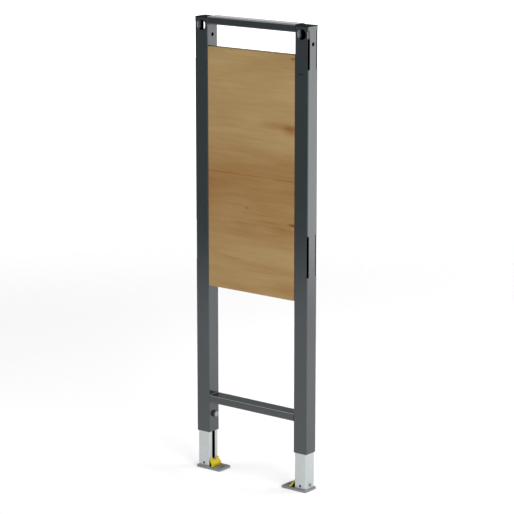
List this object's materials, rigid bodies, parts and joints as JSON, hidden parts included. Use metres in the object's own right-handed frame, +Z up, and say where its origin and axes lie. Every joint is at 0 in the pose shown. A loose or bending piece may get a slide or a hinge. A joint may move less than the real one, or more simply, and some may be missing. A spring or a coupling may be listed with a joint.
{
  "type": "grab rail installation frame",
  "caption": "Upright steel frame with a timber board between its posts and telescopic feet, set in a stud wall to carry a grab rail.",
  "frame": {"origin": "on the floor, midway between the posts, in the middle of their depth, with the feet as shown", "axes": "+X to the right seen from the front, +Y to the wall behind, +Z up"},
  "size_m": [0.35, 0.046, 1.173],
  "materials": {
    "paint": "semi-gloss anthracite powder coat",
    "cap": "black",
    "board": "sanded plywood",
    "galvanised": "galvanised",
    "plate": "dull galvanised",
    "zinc": "zinc plated",
    "latch": "yellow"
  },
  "bodies": {
    "frame": {"top_rail": "paint", "bottom_rail": "paint", "mounting_board": "board", "left_post": "paint", "left_post_cap": "cap", "left_upper_bracket": "paint", "left_lower_bracket": "paint", "left_lock_bolt": "zinc", "left_clamp_nut": "zinc", "right_post": "paint", "right_post_cap": "cap", "right_upper_bracket": "paint", "right_lower_bracket": "paint", "right_lock_bolt": "zinc", "right_clamp_nut": "zinc"},
    "left_foot": {"left_leg": "galvanised", "left_foot_plate": "plate", "left_foot_latch": "latch", "left_latch_pin": "plate"},
    "right_foot": {"right_leg": "galvanised", "right_foot_plate": "plate", "right_foot_latch": "latch", "right_latch_pin": "plate"}
  },
  "joints": [
    {"name": "left_foot_slide", "type": "slide", "parent": "frame", "child": "left_foot", "axis": [0, 0, -1], "range_m": [-0.051, 0.149]},
    {"name": "right_foot_slide", "type": "slide", "parent": "frame", "child": "right_foot", "axis": [0, 0, -1], "range_m": [-0.051, 0.149]}
  ]
}
